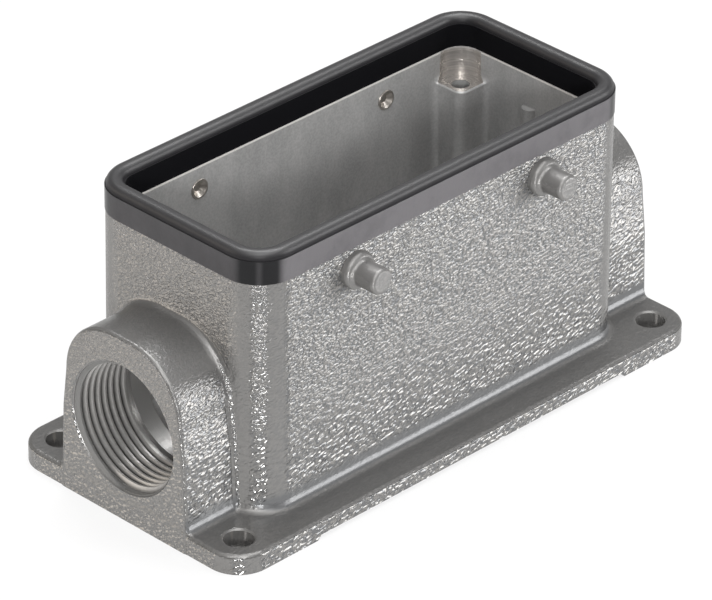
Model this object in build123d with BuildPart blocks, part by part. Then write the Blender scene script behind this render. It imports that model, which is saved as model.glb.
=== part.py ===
"""Base housing of a heavy duty rectangular connector, for surface mounting.

A die-cast box on a flange, open on top, with a threaded cable entry in each end, four
riveted locking pegs and a rubber rim seal. Millimetres, +Z up, +X along the box. The
origin is at the centre of the footprint, on the surface that the housing is screwed to.
"""
from build123d import *
from math import acos, cos, radians, sin, tan
import os

# Flange and its mounting holes, set out from the foot of the box
flange_thickness = 3.9
flange_corner_radius = 6.5
flange_edge_round = 0.8
hole_beyond_box_end = 5.75
hole_beyond_box_side = 1.05
hole_to_flange_edge = 6.0
mounting_hole_diameter = 5.5
mounting_hole_chamfer = 0.3
foot_length = 19.3
underside_relief = 0.9

# Box
box_length = 93.5
box_width = 42.9
box_corner_radius = 7.7
box_draft = 0.28
rim_height = 49.5
wall_at_rim = 3.8
floor_thickness = 2.6
cavity_corner_radius = 3.6
cavity_draft = 0.8
cavity_floor_fillet = 1.2
outside_fillet = 1.6

# Tongue on top of the wall, and the seal that straddles it
tongue_thickness = 1.4
tongue_height = 3.2
seal_height = 6.0
seal_bead_height = 1.5
seal_bead_radius = 1.45
seal_bead_inset = 0.2
seal_overhang = 0.12
seal_inner_setback = 0.25
seal_clearance = 0.05

# Cable entries in the two ends
entry_height = 18.6
entry_thread_diameter = 25.0
entry_thread_length = 13.0
entry_clear_diameter = 23.4
entry_mouth_chamfer = 0.3
entry_breakthrough = 0.4
boss_stands_proud = 0.15
boss_base_half_width = 15.9
boss_waist_half_width = 15.3
boss_waist_height = 17.0
boss_shoulder_half_width = 14.4
boss_above_entry = 18.2
boss_arch_radius = 12.0
boss_front_round = 0.7

# Corner pillars that take the screws of the contact insert
insert_spacing_x = 77.5
insert_spacing_y = 27.0
insert_hole_diameter = 3.3
insert_hole_depth = 12.0
pillar_below_rim = 5.5
pillar_reach = 2.7
pillar_corner_radius = 1.9
pillar_root_fillet = 1.1
pillar_edge_break = 0.3
seat_diameter = 8.2

# Half-round stub for the earth contact, on the +X end wall above the entry
stub_radius = 1.45
stub_below_rim = 6.5
stub_above_entry = 0.7

# Locking pegs: a pin with a collar outside the wall, riveted inside it
peg_spacing = 46.6
peg_below_rim = 4.4
peg_diameter = 4.9
peg_reach = 6.6
peg_tip_round = 0.65
peg_collar_diameter = 7.1
peg_collar_edge = 0.7
peg_collar_round = 1.0
peg_root_flare = 0.9
peg_shank_diameter = 3.2
peg_shank_clearance = 0.04
peg_tail_diameter = 3.9
peg_tail_height = 0.2
peg_tail_chamfer = 0.1
peg_dish_diameter = 3.1
peg_dish_floor_diameter = 1.3
peg_dish_depth = 0.75

# Sizes that follow from those above
mounting_spacing_x = box_length + 2 * hole_beyond_box_end
mounting_spacing_y = box_width + 2 * hole_beyond_box_side
flange_length = mounting_spacing_x + 2 * hole_to_flange_edge
flange_width = mounting_spacing_y + 2 * hole_to_flange_edge
rim_inset = (rim_height - flange_thickness) * tan(radians(box_draft))
rim_length = box_length - 2 * rim_inset
rim_width = box_width - 2 * rim_inset
rim_corner_radius = box_corner_radius - rim_inset
cavity_length = rim_length - 2 * wall_at_rim
cavity_width = rim_width - 2 * wall_at_rim
floor_height = underside_relief + floor_thickness
foot_edge = flange_length / 2 - foot_length
tongue_inset = (wall_at_rim - tongue_thickness) / 2
groove_inset = tongue_inset - seal_clearance
bead_outset = seal_overhang - seal_bead_inset
bead_setback = seal_inner_setback + seal_bead_inset
boss_face = flange_length / 2 + boss_stands_proud
boss_top_height = entry_height + boss_above_entry
boss_depth = boss_face - box_length / 2 + wall_at_rim / 2
boss_arch_centre = boss_shoulder_half_width - boss_arch_radius
pillar_height = rim_height - pillar_below_rim
pillar_length = cavity_length - insert_spacing_x + 2 * pillar_reach
pillar_width = cavity_width - insert_spacing_y + 2 * pillar_reach
peg_height = rim_height - peg_below_rim
collar_bottom = peg_height - peg_collar_diameter / 2
peg_seat_half = box_width / 2 - (collar_bottom - flange_thickness) * tan(radians(box_draft))
peg_tip_half = peg_seat_half + peg_reach
tail_bottom = peg_height - peg_tail_diameter / 2
peg_inner_half = cavity_width / 2 - (rim_height - tail_bottom) * tan(radians(cavity_draft))
peg_tail_half = peg_inner_half - peg_tail_height
entry_inner_half = cavity_length / 2 - (rim_height - entry_height) * tan(radians(cavity_draft))
entry_clear_depth = boss_face - entry_inner_half + entry_breakthrough
thread_radius = entry_thread_diameter / 2
clear_radius = entry_clear_diameter / 2
stub_foot = entry_height + clear_radius + stub_above_entry
stub_height = rim_height - stub_below_rim
pegs = {
    "front_left": (-1, -1),
    "front_right": (1, -1),
    "back_right": (1, 1),
    "back_left": (-1, 1),
}

# Flange, with its upper edge rounded
with BuildPart() as flange:
    with BuildSketch():
        RectangleRounded(flange_length, flange_width, flange_corner_radius)
    extrude(amount=flange_thickness)
    fillet(flange.edges().group_by(Axis.Z)[-1], flange_edge_round)

# Entry boss of the +X end: its outline on the end face, run back into the wall
with BuildPart() as entry_boss:
    with BuildSketch(Plane.YZ.offset(boss_face - boss_depth)):
        with BuildLine():
            side = Polyline(
                (boss_base_half_width, 0),
                (boss_waist_half_width, boss_waist_height),
                (boss_shoulder_half_width, boss_top_height - boss_arch_radius),
            )
            arch = RadiusArc(side @ 1, (boss_arch_centre, boss_top_height), -boss_arch_radius)
            Line(arch @ 1, (0, boss_top_height))
            mirror(about=Plane.YZ)
            Line((-boss_base_half_width, 0), (boss_base_half_width, 0))
        make_face()
    extrude(amount=boss_depth)
    face_outline = entry_boss.edges().group_by(Axis.X)[-1]
    fillet(face_outline.sort_by(Axis.Z)[1:], boss_front_round)

# Core of the casting: the space inside its walls, around the corner pillars
with BuildPart() as core:
    with BuildSketch(Plane(origin=(0, 0, rim_height), z_dir=(0, 0, -1))):
        RectangleRounded(cavity_length, cavity_width, cavity_corner_radius)
    extrude(amount=rim_height - floor_height, taper=cavity_draft)
    with BuildSketch(Plane.XY.offset(floor_height)):
        with GridLocations(cavity_length, cavity_width, 2, 2):
            RectangleRounded(pillar_length, pillar_width, pillar_corner_radius)
    extrude(amount=pillar_height - floor_height, mode=Mode.SUBTRACT)
    on_walls = core.edges(Select.NEW).filter_by_position(Axis.Z, floor_height + 1, pillar_height)
    fillet(on_walls, pillar_root_fillet)
    chamfer(core.edges().filter_by_position(Axis.Z, pillar_height, pillar_height), pillar_edge_break)
    with BuildSketch(Plane.XY.offset(stub_foot)):
        with Locations((cavity_length / 2, 0)):
            Circle(stub_radius)
    extrude(amount=stub_height - stub_foot, mode=Mode.SUBTRACT)
    fillet(core.edges().group_by(Axis.Z)[0], cavity_floor_fillet)

    # Round seats above the pillars, cut from above into the corners, and the screw holes
    with BuildSketch(Plane.XY.offset(pillar_height)):
        with GridLocations(insert_spacing_x, insert_spacing_y, 2, 2):
            Circle(seat_diameter / 2)
    extrude(amount=rim_height - pillar_height)
    with BuildSketch(Plane.XY.offset(pillar_height)):
        with GridLocations(insert_spacing_x, insert_spacing_y, 2, 2):
            Circle(insert_hole_diameter / 2)
    extrude(amount=-insert_hole_depth)

# Housing: the die casting
with BuildPart() as housing:
    add(flange.part)
    add(entry_boss.part)
    add(mirror(entry_boss.part, about=Plane.YZ, mode=Mode.PRIVATE))
    with BuildSketch(Plane.XY.offset(flange_thickness)):
        RectangleRounded(box_length, box_width, box_corner_radius)
    extrude(amount=rim_height - flange_thickness, taper=box_draft)

    # Fillets where the box, the entry bosses and the flange meet
    boss_roots = housing.edges(Select.NEW)
    flange_top = housing.edges().filter_by_position(Axis.Z, flange_thickness, flange_thickness)
    box_foot = [
        edge
        for edge in flange_top
        if edge not in boss_roots
        and abs(edge.center().X) <= box_length / 2
        and abs(edge.center().Y) <= box_width / 2
    ]
    boss_foot = [
        edge
        for edge in flange_top
        if box_length / 2 < abs(edge.center().X) < flange_length / 2 - flange_edge_round
        and abs(edge.center().Y) < boss_base_half_width
    ]
    fillet([*boss_roots, *box_foot, *boss_foot], outside_fillet)

    # Tongue that holds the seal, and the space inside
    with BuildSketch(Plane.XY.offset(rim_height)):
        RectangleRounded(
            rim_length - 2 * tongue_inset,
            rim_width - 2 * tongue_inset,
            rim_corner_radius - tongue_inset,
        )
        RectangleRounded(
            cavity_length + 2 * tongue_inset,
            cavity_width + 2 * tongue_inset,
            cavity_corner_radius + tongue_inset,
            mode=Mode.SUBTRACT,
        )
    extrude(amount=tongue_height)
    add(core.part, mode=Mode.SUBTRACT)

    # Cable entries: a chamfered mouth, the threaded length, then the clear bore
    for side_x in (-1, 1):
        with BuildSketch(Plane(origin=(0, 0, entry_height), x_dir=(side_x, 0, 0), z_dir=(0, -side_x, 0))):
            with BuildLine():
                Polyline(
                    (boss_face, 0),
                    (boss_face, thread_radius + entry_mouth_chamfer),
                    (boss_face - entry_mouth_chamfer, thread_radius),
                    (boss_face - entry_thread_length, thread_radius),
                    (boss_face - entry_thread_length, clear_radius),
                    (boss_face - entry_clear_depth, clear_radius),
                    (boss_face - entry_clear_depth, 0),
                    close=True,
                )
            make_face()
        revolve(axis=Axis((0, 0, entry_height), (1, 0, 0)), mode=Mode.SUBTRACT)

    # Mounting holes, with their upper rims broken
    with BuildSketch():
        with GridLocations(mounting_spacing_x, mounting_spacing_y, 2, 2):
            Circle(mounting_hole_diameter / 2)
    extrude(amount=flange_thickness, mode=Mode.SUBTRACT)
    hole_rims = housing.edges(Select.LAST).filter_by_position(Axis.Z, flange_thickness, flange_thickness)
    chamfer(hole_rims, mounting_hole_chamfer)

    # Underside raised between the two feet
    with BuildSketch(Plane.XZ):
        Polygon(
            (-foot_edge, 0),
            (foot_edge, 0),
            (foot_edge - underside_relief, underside_relief),
            (underside_relief - foot_edge, underside_relief),
            align=None,
        )
    extrude(amount=flange_width / 2, both=True, mode=Mode.SUBTRACT)

    # Holes for the shanks of the pegs
    with BuildSketch(Plane(origin=(0, 0, peg_height), x_dir=(1, 0, 0), z_dir=(0, 1, 0))):
        with GridLocations(peg_spacing, 1, 2, 1):
            Circle(peg_shank_diameter / 2 + peg_shank_clearance)
    extrude(amount=peg_seat_half, both=True, mode=Mode.SUBTRACT)
housing.part.label = "housing"

# Seal: a rubber band with a bead on top and a groove below that fits over the tongue
with BuildPart() as rim_seal:
    with BuildSketch(Plane.XY.offset(rim_height)):
        RectangleRounded(
            rim_length + 2 * seal_overhang,
            rim_width + 2 * seal_overhang,
            rim_corner_radius + seal_overhang,
        )
        RectangleRounded(
            cavity_length + 2 * seal_inner_setback,
            cavity_width + 2 * seal_inner_setback,
            cavity_corner_radius + seal_inner_setback,
            mode=Mode.SUBTRACT,
        )
    extrude(amount=seal_height - seal_bead_height)
    with BuildSketch(Plane.XY.offset(rim_height + seal_height - seal_bead_height)):
        RectangleRounded(
            rim_length + 2 * bead_outset,
            rim_width + 2 * bead_outset,
            rim_corner_radius + bead_outset,
        )
        RectangleRounded(
            cavity_length + 2 * bead_setback,
            cavity_width + 2 * bead_setback,
            cavity_corner_radius + bead_setback,
            mode=Mode.SUBTRACT,
        )
    extrude(amount=seal_bead_height)
    fillet(rim_seal.edges().group_by(Axis.Z)[-1], seal_bead_radius)
    with BuildSketch(Plane.XY.offset(rim_height)):
        RectangleRounded(
            rim_length - 2 * groove_inset,
            rim_width - 2 * groove_inset,
            rim_corner_radius - groove_inset,
        )
        RectangleRounded(
            cavity_length + 2 * groove_inset,
            cavity_width + 2 * groove_inset,
            cavity_corner_radius + groove_inset,
            mode=Mode.SUBTRACT,
        )
    extrude(amount=tongue_height + seal_clearance, mode=Mode.SUBTRACT)
rim_seal.part.label = "rim_seal"

os.makedirs("parts", exist_ok=True)
export_step(housing.part, "parts/housing.step")
export_step(rim_seal.part, "parts/rim_seal.step")

# Locking pegs, each turned about its own axis: a riveted tail inside the wall, a shank
# through it, and outside it a collar that runs in an S-curve into the pin
pin_radius = peg_diameter / 2
collar_radius = peg_collar_diameter / 2
shank_radius = peg_shank_diameter / 2
tail_radius = peg_tail_diameter / 2
curve_turn = acos(1 - (collar_radius - pin_radius) / (peg_collar_round + peg_root_flare))
curve_start = peg_seat_half + peg_collar_edge
curve_middle = (
    collar_radius - peg_collar_round * (1 - cos(curve_turn)),
    curve_start + peg_collar_round * sin(curve_turn),
)
curve_end = curve_start + (peg_collar_round + peg_root_flare) * sin(curve_turn)
for peg_name, (side_x, side_y) in pegs.items():
    peg_centre = (side_x * peg_spacing / 2, 0, peg_height)
    with BuildPart() as locking_peg:
        with BuildSketch(Plane(origin=peg_centre, x_dir=(1, 0, 0), z_dir=(0, 0, side_y))):
            with BuildLine():
                tail_to_collar = Polyline(
                    (0, peg_tail_half + peg_dish_depth),
                    (peg_dish_floor_diameter / 2, peg_tail_half + peg_dish_depth),
                    (peg_dish_diameter / 2, peg_tail_half),
                    (tail_radius - peg_tail_chamfer, peg_tail_half),
                    (tail_radius, peg_tail_half + peg_tail_chamfer),
                    (tail_radius, peg_inner_half),
                    (shank_radius, peg_inner_half),
                    (shank_radius, peg_seat_half),
                    (collar_radius, peg_seat_half),
                    (collar_radius, curve_start),
                )
                collar_edge = RadiusArc(tail_to_collar @ 1, curve_middle, -peg_collar_round)
                flare = RadiusArc(collar_edge @ 1, (pin_radius, curve_end), peg_root_flare)
                pin_side = Line(flare @ 1, (pin_radius, peg_tip_half - peg_tip_round))
                tip_edge = RadiusArc(
                    pin_side @ 1, (pin_radius - peg_tip_round, peg_tip_half), -peg_tip_round
                )
                Polyline(tip_edge @ 1, (0, peg_tip_half), tail_to_collar @ 0)
            make_face()
        revolve(axis=Axis(peg_centre, (0, 1, 0)))
    locking_peg.part.label = f"locking_peg_{peg_name}"
    export_step(locking_peg.part, f"parts/{locking_peg.part.label}.step")
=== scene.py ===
"""Looks of the connector housing: finishes, the entry threads, the floor, the lights and the camera."""
from math import cos, radians, sin, tau

import bmesh
import bpy
from mathutils import Matrix, Vector


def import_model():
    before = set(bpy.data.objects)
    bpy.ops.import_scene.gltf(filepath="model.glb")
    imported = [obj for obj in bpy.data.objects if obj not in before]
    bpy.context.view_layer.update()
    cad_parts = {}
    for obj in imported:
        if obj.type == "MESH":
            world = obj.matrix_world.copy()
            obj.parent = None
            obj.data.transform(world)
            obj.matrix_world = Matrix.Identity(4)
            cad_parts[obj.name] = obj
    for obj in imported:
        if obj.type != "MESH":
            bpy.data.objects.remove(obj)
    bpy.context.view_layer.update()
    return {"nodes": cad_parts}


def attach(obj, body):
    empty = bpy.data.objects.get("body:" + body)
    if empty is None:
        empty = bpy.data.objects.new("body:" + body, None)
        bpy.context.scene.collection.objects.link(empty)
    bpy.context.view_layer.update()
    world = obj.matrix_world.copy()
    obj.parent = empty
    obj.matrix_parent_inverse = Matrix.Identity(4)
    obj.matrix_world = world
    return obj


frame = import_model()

MM = 0.001

# Places in the housing, in metres, as its sizes give them
RIM_HEIGHT = 49.5 * MM
BEAD_FOOT = 54.0 * MM
CORNER_CENTRE = Vector((39.05, 13.75, 0)) * MM
WALL_MIDDLE_RADIUS = 5.6 * MM
FLANGE_TOP = 3.95 * MM
MOUNTING_HOLE = Vector((52.5, 22.5, 0)) * MM
HOLE_REACH = 3.2 * MM
PILLAR_HOLE = Vector((38.75, 13.5, 0)) * MM
PILLAR_HEIGHT = 44.0 * MM
SEAT_RADIUS = 4.1 * MM
BOSS_FACE = 58.65 * MM
ENTRY_HEIGHT = 18.6 * MM
FLOOR_MIDDLE = 2.0 * MM

# How far a mask in a material reaches past the edge that it stops at, and below the rim
PAST_EDGE = 0.05 * MM
BELOW_RIM = 0.03 * MM

# Thread of an entry
THREAD_MAJOR = 12.5 * MM
THREAD_MINOR = 11.69 * MM
THREAD_PITCH = 1.5 * MM
THREAD_LENGTH = 13.0 * MM
THREAD_MARGIN = 0.1 * MM
THREAD_BITE = 0.02 * MM
THREAD_RUN_IN = 0.08
STEPS_PER_TURN = 96

# Grey coat
COAT_RELIEF = 0.2 * MM
COAT_DROOP = 0.27
RIPPLE_SLANT = 0.28
FINE_RIPPLES_ABOVE = 32 * MM
COARSE_RIPPLES_BELOW = 10 * MM
# Coat colours from the ripples' valleys to their crests: partly the coat's own tone, partly painted
# shade and highlight
COAT_VALLEY = (0.154, 0.156, 0.159)
COAT_CREST = (0.238, 0.231, 0.222)
COAT_METALLIC = 0.6

# Bare metal and rubber, each from its darkest to its lightest
CAST_METAL = (0.33, 0.328, 0.326), (0.47, 0.466, 0.460)
# The seats' lighter, warmer tone is partly turned metal and partly a painted highlight
SEAT_METAL = (0.42, 0.40, 0.38), (0.56, 0.53, 0.50)
PEG_STEEL = (0.36, 0.33, 0.30), (0.50, 0.47, 0.43)
CUT_METAL = (0.33, 0.322, 0.312), (0.44, 0.43, 0.418)
BORE_METAL = (0.33, 0.325, 0.318)
# Near-white of the painted highlight along the rim's inner edge
RIM_LINE_HIGHLIGHT = (0.84, 0.81, 0.78)
# Colour of the painted shade at the roots of the thread
THREAD_ROOT_SHADE = (0.08, 0.078, 0.076)
THREAD_MOUTH = (0.17, 0.168, 0.164)
# The rubber's lightest is the colour of the painted sheen and highlight on the seal's outer sides
RUBBER_TO_PAINTED_LIGHT = (0.006, 0.006, 0.007), (0.115, 0.110, 0.116)

# Surroundings: the floor, and the heights and greys of the world from below to above
FLOOR_HALF = 6.0
FLOOR_WHITE = 0.78
WORLD_GREYS = [(0.0, 0.9), (0.10, 0.9), (0.24, 0.20), (0.72, 0.20), (0.90, 0.7)]
LAMPS_AIM = Vector((0, 0, 25)) * MM

# Camera, as fitted to the photograph. The offset is along its right, up and back
CAMERA_AZIMUTH = -45.53
CAMERA_ELEVATION = 30.663
CAMERA_ROLL = 0.668
CAMERA_OFFSET = Vector((-0.83, 17.33, 1061.0)) * MM
CAMERA_FOCAL_PIXELS = 5893
PHOTO_WIDTH_PIXELS = 712
SENSOR_WIDTH = 36


# Shader building

class Nodes:
    """The node tree of one material, with short calls that add and link its nodes."""

    def __init__(self, name):
        self.material = bpy.data.materials.new(name)
        self.material.use_nodes = True
        self.tree = self.material.node_tree
        self.shader = self.tree.nodes["Principled BSDF"]
        self.place = self.add("ShaderNodeTexCoord").outputs["Object"]
        self.normal = self.add("ShaderNodeTexCoord").outputs["Normal"]

    def add(self, kind, **settings):
        node = self.tree.nodes.new(kind)
        for name, value in settings.items():
            setattr(node, name, value)
        return node

    def feed(self, socket, value):
        if isinstance(value, bpy.types.NodeSocket):
            self.tree.links.new(value, socket)
        else:
            socket.default_value = value

    def feed_all(self, node, values):
        """Feeds the node's inputs in their order, and gives back its first output."""
        for socket, value in zip(node.inputs, values):
            self.feed(socket, value)
        return node.outputs[0]

    def math(self, operation, *values):
        return self.feed_all(self.add("ShaderNodeMath", operation=operation), values)

    def vector(self, operation, *values):
        return self.feed_all(self.add("ShaderNodeVectorMath", operation=operation), values)

    def length(self, vector):
        node = self.add("ShaderNodeVectorMath", operation="LENGTH")
        self.feed(node.inputs[0], vector)
        return node.outputs["Value"]

    def split(self, vector):
        node = self.add("ShaderNodeSeparateXYZ")
        self.feed(node.inputs[0], vector)
        return node.outputs[:3]

    def join(self, x, y, z=0.0):
        return self.feed_all(self.add("ShaderNodeCombineXYZ"), (x, y, z))

    def ramp(self, value, low, high, start=0.0, end=1.0):
        """start where value is low, end where it is high, smooth between."""
        node = self.add("ShaderNodeMapRange", interpolation_type="SMOOTHSTEP")
        return self.feed_all(node, (value, low, high, start, end))

    def noise(self, scale, detail=2.0, roughness=0.5, distortion=0.0, place=None):
        node = self.add("ShaderNodeTexNoise")
        self.feed(node.inputs["Vector"], place or self.place)
        self.feed(node.inputs["Scale"], scale)
        self.feed(node.inputs["Detail"], detail)
        self.feed(node.inputs["Roughness"], roughness)
        self.feed(node.inputs["Distortion"], distortion)
        return node.outputs["Fac"]

    def mix(self, kind, factor, first, second):
        node = self.add("ShaderNodeMix", data_type=kind)
        self.feed(node.inputs["Factor"], factor)
        self.feed(node.inputs["A"], first)
        self.feed(node.inputs["B"], second)
        return node.outputs["Result"]

    def value(self, factor, first, second):
        return self.mix("FLOAT", factor, first, second)

    def colour(self, factor, first, second):
        first, second = ((*item, 1) if isinstance(item, tuple) else item for item in (first, second))
        return self.mix("RGBA", factor, first, second)

    def bump(self, height, distance, strength=1.0):
        node = self.add("ShaderNodeBump")
        self.feed(node.inputs["Height"], height)
        self.feed(node.inputs["Distance"], distance)
        self.feed(node.inputs["Strength"], strength)
        self.feed(self.shader.inputs["Normal"], node.outputs[0])

    def set(self, **inputs):
        for name, value in inputs.items():
            self.feed(self.shader.inputs[name.replace("_", " ")], value)

    def quarter(self):
        """The place as seen from above, folded into one quarter of the housing."""
        return self.vector("ABSOLUTE", self.vector("MULTIPLY", self.place, (1, 1, 0)))

    def beyond_corner(self, quarter):
        """How far out it is, measured from the centre line of the corners' rounding."""
        beyond = self.vector("MAXIMUM", self.vector("SUBTRACT", quarter, CORNER_CENTRE), (0, 0, 0))
        return self.length(beyond)

    def from_entry_axis(self):
        across = self.vector("MULTIPLY", self.place, (0, 1, 1))
        return self.length(self.vector("SUBTRACT", across, (0, 0, ENTRY_HEIGHT)))

    def near_foot(self, low, high, level=1.0):
        """That level from the flange's top up to low, then down to 0 at high."""
        z = self.split(self.place)[2]
        above_flange = self.math("GREATER_THAN", z, FLANGE_TOP)
        return self.math("MULTIPLY", self.ramp(z, low, high, level, 0.0), above_flange)


def coat(n, amount):
    """Colour and height of the grey coat.

    It is rippled on upright faces, and smooth on tops, along the foot of the walls and on
    both sides of a corner. Everywhere it leans upwards a little, by COAT_DROOP. Its colour is darker in
    the ripples' valleys and lighter on their crests, partly the coat's own tone and partly painted
    shade and highlight; along the foot of the long walls it is darkened as painted shade.
    """
    x, y, z = n.split(n.place)
    slant = n.join(x, y, n.math("MULTIPLY_ADD", n.math("SUBTRACT", x, y), -RIPPLE_SLANT, z))
    fine_place = n.vector("MULTIPLY", slant, (0.7, 1.1, 1.2))
    fine = n.math("MULTIPLY", n.noise(2000, detail=0.5, distortion=0.8, place=fine_place), 1.35)
    coarse_place = n.vector("MULTIPLY", slant, (0.8, 1.25, 1.3))
    coarse = n.noise(1150, detail=0.0, distortion=0.5, place=coarse_place)
    low = n.ramp(z, COARSE_RIPPLES_BELOW, FINE_RIPPLES_ABOVE, 1.0, 0.0)
    ripples = n.value(low, fine, n.math("MULTIPLY", coarse, 1.5))

    up = n.split(n.normal)[2]
    side_x, side_y, _ = n.split(n.vector("ABSOLUTE", n.normal))
    turned = n.math("MINIMUM", side_x, side_y)
    calm = n.math("MULTIPLY", n.ramp(turned, 0.08, 0.2), n.ramp(turned, 0.50, 0.60, 0.7, 0.0))
    foot = n.math("MULTIPLY", n.near_foot(5.8 * MM, 7.8 * MM), n.ramp(side_y, 0.5, 0.8, 0.0, 0.8))
    strength = n.math("MULTIPLY", n.ramp(up, 0.25, 0.6, 1.0, 0.2), amount)
    strength = n.math("MULTIPLY", strength, n.math("SUBTRACT", 1.0, calm))
    strength = n.math("MULTIPLY", strength, n.math("SUBTRACT", 1.0, foot))

    # Valley-to-crest colour follows the fine ripples, partly painted shade and highlight. On tops and
    # faces turned to X the pattern is weaker and lighter on the whole. Along the foot of the long walls
    # the colour is darkened as painted shade.
    contrast = n.math("MULTIPLY", strength, n.math("MULTIPLY_ADD", side_x, -0.55, 1.0))
    crest = n.value(contrast, n.math("MULTIPLY_ADD", side_x, 0.2, 0.6), n.ramp(fine, 0.58, 0.76))
    colour = n.colour(n.math("SUBTRACT", crest, foot), COAT_VALLEY, COAT_CREST)
    height = n.math("MULTIPLY", ripples, strength)
    return colour, n.math("MULTIPLY_ADD", z, -COAT_DROOP / COAT_RELIEF, height)


def casting_material():
    """Grey coat outside, and bare satin metal inside, at the rim and in the bores, with a painted
    highlight along the rim's inner edge.

    The bores and the seats above the pillars carry tool marks, as they are turned; the seats are also
    painted lighter and warmer, partly as a painted highlight.
    """
    n = Nodes("casting")
    x, y, z = n.split(n.place)
    quarter = n.quarter()
    inside = n.math("LESS_THAN", n.beyond_corner(quarter), WALL_MIDDLE_RADIUS)
    inside = n.math("MULTIPLY", inside, n.math("GREATER_THAN", z, FLOOR_MIDDLE))
    hole = n.math("LESS_THAN", n.length(n.vector("SUBTRACT", quarter, MOUNTING_HOLE)), HOLE_REACH)
    from_axis = n.from_entry_axis()
    bore = n.math("LESS_THAN", from_axis, THREAD_MAJOR + PAST_EDGE)
    rim = n.math("GREATER_THAN", z, RIM_HEIGHT - BELOW_RIM)
    bare = n.math("MAXIMUM", n.math("MAXIMUM", inside, bore), rim)
    from_pillar = n.length(n.vector("SUBTRACT", quarter, PILLAR_HOLE))
    seat = n.math("LESS_THAN", from_pillar, SEAT_RADIUS + PAST_EDGE)
    seat = n.math("MULTIPLY", seat, n.math("GREATER_THAN", z, PILLAR_HEIGHT - PAST_EDGE))
    turned = n.math("MAXIMUM", seat, bore)

    coat_colour, grain = coat(n, n.value(hole, 1.0, 0.1))
    bore_rings = n.noise(4000, detail=1.0, place=n.join(x, from_axis))
    seat_rings = n.noise(5000, detail=1.0, place=n.join(z, from_pillar))
    rings = n.value(seat, bore_rings, seat_rings)
    skin = n.noise(2200, detail=2.0, roughness=0.6)
    ring_marks = n.math("MULTIPLY", rings, n.value(seat, 0.22, 0.4))
    marks = n.value(turned, n.math("MULTIPLY", skin, 0.11), ring_marks)
    n.bump(n.value(bare, grain, marks), COAT_RELIEF)

    flow = n.vector("MULTIPLY", n.place, (1, 1, 0.45))
    patches = n.noise(190, detail=4.0, roughness=0.65, place=flow)
    metal = n.value(0.45, n.ramp(patches, 0.3, 0.7), n.ramp(skin, 0.35, 0.65))
    metal = n.colour(metal, *CAST_METAL)
    # Turned seat rings, painted lighter and warmer than the cast metal, partly as a painted highlight
    seat_rings_and_highlight = n.colour(n.ramp(rings, 0.35, 0.65), *SEAT_METAL)
    metal = n.colour(turned, metal, n.colour(seat, BORE_METAL, seat_rings_and_highlight))
    # Painted highlight: from just below the rim up to it, the bare metal is painted near-white
    rim_line_highlight = n.ramp(z, RIM_HEIGHT - 0.28 * MM, RIM_HEIGHT - 0.18 * MM)
    metal = n.colour(rim_line_highlight, metal, RIM_LINE_HIGHLIGHT)
    n.set(Base_Color=n.colour(bare, coat_colour, metal))
    n.set(Metallic=n.value(bare, COAT_METALLIC, n.value(turned, 0.35, 0.7)))

    sheen = n.ramp(n.split(n.normal)[2], 0.25, 0.6, 0.12, 0.28)
    sheen = n.math("MAXIMUM", sheen, n.near_foot(5.0 * MM, 6.4 * MM, 0.36))
    n.set(Roughness=n.value(bare, sheen, n.value(turned, 0.38, n.value(seat, 0.33, 0.24))))
    return n.material


def seal_material():
    """Black rubber with painted light: a pale painted sheen on its flat outer sides, strongest on the
    long sides, a painted highlight line down each corner, and a slight even lift on the bead.
    """
    n = Nodes("seal_rubber")
    z = n.split(n.place)[2]
    outer = n.math("GREATER_THAN", n.beyond_corner(n.quarter()), WALL_MIDDLE_RADIUS)
    side_x, side_y, up = n.split(n.vector("ABSOLUTE", n.normal))
    # Painted sheen: the flat outer sides are painted paler, the long sides most
    side = n.math("MAXIMUM", n.ramp(side_y, 0.93, 0.999), n.ramp(side_x, 0.93, 0.999, 0.0, 0.4))
    # Painted highlight: a soft light line down the middle of each corner
    painted_corner_highlight = n.ramp(n.math("MINIMUM", side_x, side_y), 0.62, 0.705, 0.0, 0.22)
    side = n.math("MAXIMUM", side, painted_corner_highlight)
    bead = n.ramp(z, BEAD_FOOT - PAST_EDGE, BEAD_FOOT + PAST_EDGE)
    cloud = n.ramp(n.noise(160, detail=4.0, roughness=0.7), 0.25, 0.75, 0.8, 1.15)
    # All the painted light, varied by the cloud; on the bead the colour is lifted a little everywhere
    painted_light = n.math("MULTIPLY", n.value(bead, n.math("MULTIPLY", side, outer), 0.12), cloud)
    n.set(Base_Color=n.colour(painted_light, *RUBBER_TO_PAINTED_LIGHT))
    n.set(Roughness=n.value(bead, n.value(painted_light, 0.28, 0.5), 0.42))
    bead_gleam = n.ramp(up, 0.3, 0.9, 0.12, 0.85)
    n.set(Specular_IOR_Level=n.value(bead, n.value(outer, 0.02, 0.25), bead_gleam))
    n.bump(n.noise(1500, detail=2.0), 0.03 * MM, 0.5)
    return n.material


def peg_material():
    """The housing's coat outside the wall, bare steel on the riveted tail."""
    n = Nodes("peg_steel")
    y = n.split(n.place)[1]
    bare = n.math("LESS_THAN", n.math("ABSOLUTE", y), CORNER_CENTRE.y + WALL_MIDDLE_RADIUS)
    coat_colour, grain = coat(n, 0.3)
    steel = n.noise(1500, detail=2.0, roughness=0.5)
    n.bump(n.value(bare, grain, n.math("MULTIPLY", steel, 0.1)), COAT_RELIEF)
    bright = n.colour(steel, *PEG_STEEL)
    n.set(Base_Color=n.colour(bare, coat_colour, bright), Metallic=n.value(bare, COAT_METALLIC, 0.9))
    n.set(Roughness=n.value(bare, 0.38, 0.34))
    return n.material


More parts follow.
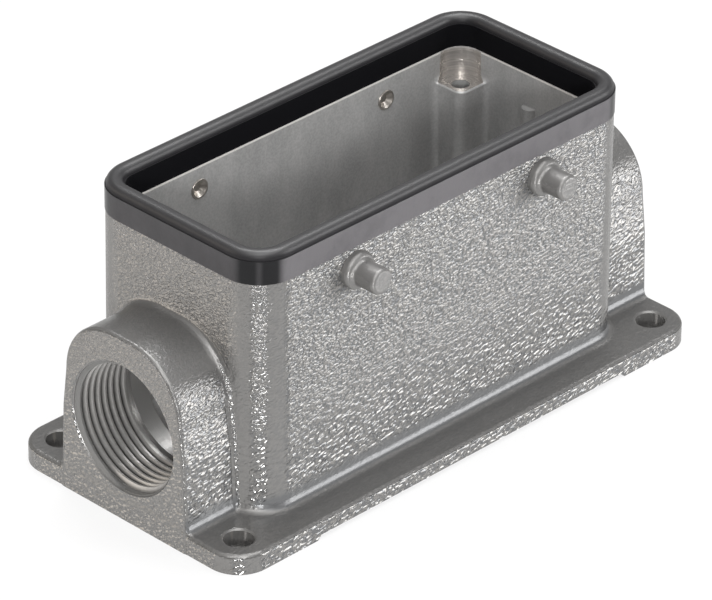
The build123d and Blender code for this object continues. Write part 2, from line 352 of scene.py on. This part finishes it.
def thread_material():
    """Cut metal, with painted shade at the roots of the thread, and dull where it starts at the mouth.
    """
    n = Nodes("thread_metal")
    along = n.math("ABSOLUTE", n.split(n.place)[0])
    grain = n.noise(1500, detail=2.0, roughness=0.5)
    cut = n.colour(grain, *CUT_METAL)
    # Painted shade: the thread is darkened at its roots, where it meets the bore
    root = n.ramp(n.from_entry_axis(), THREAD_MAJOR - 0.55 * MM, THREAD_MAJOR - 0.05 * MM)
    past_start = n.ramp(along, BOSS_FACE - 1.6 * MM, BOSS_FACE - 0.9 * MM, 1.0, 0.0)
    cut = n.colour(n.math("MULTIPLY", root, past_start), cut, THREAD_ROOT_SHADE)
    mouth = n.ramp(along, BOSS_FACE - 2.2 * MM, BOSS_FACE - 1.0 * MM)
    n.set(Base_Color=n.colour(mouth, cut, THREAD_MOUTH))
    n.set(Metallic=n.value(mouth, 0.5, 0.2), Roughness=n.value(mouth, 0.32, 0.6))
    n.bump(grain, 0.08 * MM, 0.5)
    return n.material


# Pieces that the scene adds

def add_piece(name, data):
    piece = bpy.data.objects.new(name, data)
    bpy.context.collection.objects.link(piece)
    return piece


def thread_ridge(name, side, material):
    """The helical ridge of an M25 x 1.5 inside thread, in the entry at that side.

    It starts at the bottom of the mouth. Both its ends rise out of the bore within a
    small part of a turn, THREAD_RUN_IN.
    """
    crest_half = THREAD_PITCH / 8
    root_half = THREAD_PITCH * 7 / 16
    turns = (THREAD_LENGTH - 2 * root_half - THREAD_MARGIN) / THREAD_PITCH
    steps = int(turns * STEPS_PER_TURN)
    seat = THREAD_MAJOR + THREAD_BITE
    mesh = bmesh.new()
    rows = []
    for step in range(steps + 1):
        turn = step / STEPS_PER_TURN
        turns_left = steps / STEPS_PER_TURN - turn
        rise = max(min(1.0, turn / THREAD_RUN_IN, turns_left / THREAD_RUN_IN), 0.02)
        crest = seat - (seat - THREAD_MINOR) * rise
        middle = BOSS_FACE - (THREAD_MARGIN + root_half + turn * THREAD_PITCH)
        angle = -side * turn * tau - tau / 4
        profile = ((-root_half, seat), (-crest_half, crest), (crest_half, crest), (root_half, seat))
        row = []
        for offset, radius in profile:
            across, height = radius * cos(angle), ENTRY_HEIGHT + radius * sin(angle)
            row.append(mesh.verts.new((side * (middle - offset), across, height)))
        rows.append(row)
    for first, second in zip(rows, rows[1:]):
        for corner, after in ((0, 1), (1, 2), (2, 3), (3, 0)):
            mesh.faces.new((first[corner], first[after], second[after], second[corner]))
    mesh.faces.new(rows[0])
    mesh.faces.new(rows[-1][::-1])
    bmesh.ops.recalc_face_normals(mesh, faces=mesh.faces)
    data = bpy.data.meshes.new(name)
    mesh.to_mesh(data)
    mesh.free()
    data.materials.append(material)
    piece = add_piece(name, data)
    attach(piece, "root")


# Surroundings

def floor():
    """Pale paper that looks white to the camera and in reflections, and still takes the shadow."""
    half = FLOOR_HALF
    mesh = bpy.data.meshes.new("floor")
    corners = [(-half, -half, 0), (half, -half, 0), (half, half, 0), (-half, half, 0)]
    mesh.from_pydata(corners, [], [(0, 1, 2, 3)])
    n = Nodes("floor_paper")
    n.set(Base_Color=(0.86, 0.86, 0.86, 1), Roughness=0.9, Specular_IOR_Level=0.0)
    path = n.add("ShaderNodeLightPath").outputs
    seen = n.math("MAXIMUM", path["Is Camera Ray"], path["Is Glossy Ray"])
    seen = n.math("MAXIMUM", seen, path["Is Transmission Ray"])
    white = n.add("ShaderNodeEmission")
    n.feed(white.inputs["Color"], (1, 1, 1, 1))
    seen = n.math("MULTIPLY", seen, FLOOR_WHITE)
    surface = n.feed_all(n.add("ShaderNodeMixShader"), (seen, n.shader.outputs[0], white.outputs[0]))
    n.feed(n.tree.nodes["Material Output"].inputs["Surface"], surface)
    mesh.materials.append(n.material)
    add_piece("floor", mesh)


def world():
    """Greys that change with the height only, so that no reflection has an edge."""
    surroundings = bpy.data.worlds.new("studio")
    surroundings.use_nodes = True
    bpy.context.scene.world = surroundings
    tree = surroundings.node_tree
    place = tree.nodes.new("ShaderNodeTexCoord")
    split = tree.nodes.new("ShaderNodeSeparateXYZ")
    ramp = tree.nodes.new("ShaderNodeValToRGB")
    tree.links.new(place.outputs["Generated"], split.inputs[0])
    tree.links.new(split.outputs["Z"], ramp.inputs[0])
    tree.links.new(ramp.outputs[0], tree.nodes["Background"].inputs["Color"])
    stops = ramp.color_ramp.elements
    while len(stops) < len(WORLD_GREYS):
        stops.new(0.5)
    for stop, (position, level) in zip(stops, WORLD_GREYS):
        stop.position = position
        stop.color = (level, level, level, 1)


def direction(azimuth, elevation):
    """Away from the part. Azimuths are a camera's, so 0 is in front."""
    a, e = radians(azimuth), radians(elevation)
    return Vector((sin(a) * cos(e), -cos(a) * cos(e), sin(e)))


def lamp(name, azimuth, elevation, distance, width, height, level, colour=(1, 1, 1)):
    """A rectangular lamp of that brightness, which looks at the part."""
    data = bpy.data.lights.new(name, "AREA")
    data.shape = "RECTANGLE"
    data.size = width
    data.size_y = height
    data.energy = 4 * level * width * height
    data.color = colour
    away = direction(azimuth, elevation)
    piece = add_piece(name, data)
    piece.location = away * distance + LAMPS_AIM
    piece.rotation_euler = away.to_track_quat("Z", "Y").to_euler()


def camera():
    """The photograph's own camera."""
    azimuth, roll = radians(CAMERA_AZIMUTH), radians(CAMERA_ROLL)
    back = direction(CAMERA_AZIMUTH, CAMERA_ELEVATION)
    right = Vector((cos(azimuth), sin(azimuth), 0))
    level = Matrix((right, back.cross(right), back))
    tilt = Matrix(((cos(roll), sin(roll), 0), (-sin(roll), cos(roll), 0), (0, 0, 1)))
    turn = (tilt @ level).transposed()
    data = bpy.data.cameras.new("camera")
    data.sensor_width = SENSOR_WIDTH
    data.lens = CAMERA_FOCAL_PIXELS * SENSOR_WIDTH / PHOTO_WIDTH_PIXELS
    piece = add_piece("camera", data)
    piece.matrix_world = Matrix.Translation(turn @ CAMERA_OFFSET) @ turn.to_4x4()
    bpy.context.scene.camera = piece


finishes = {"housing": casting_material(), "rim_seal": seal_material()}
steel = peg_material()
for node_name, node in frame["nodes"].items():
    for slot in node.material_slots:
        slot.material = finishes.get(node_name, steel)

thread_metal = thread_material()
thread_ridge("thread_left", -1, thread_metal)
thread_ridge("thread_right", 1, thread_metal)

floor()
world()
lamp("softbox_right", 42, 18, 1.4, 0.86, 0.72, 5.0)
lamp("glint", -46, 19, 1.0, 0.34, 0.11, 30.0)
lamp("front_top", -46, 60, 1.0, 0.6, 0.5, 3.0)
lamp("back_top", 134, 62, 1.0, 0.6, 0.3, 6.0)
lamp("overhead", 77, 78, 1.0, 0.6, 0.6, 1.7)
lamp("warm_left", -130, 12, 0.8, 0.6, 0.4, 1.5, (1.0, 0.90, 0.78))
camera()
bpy.context.scene.view_settings.view_transform = "Standard"
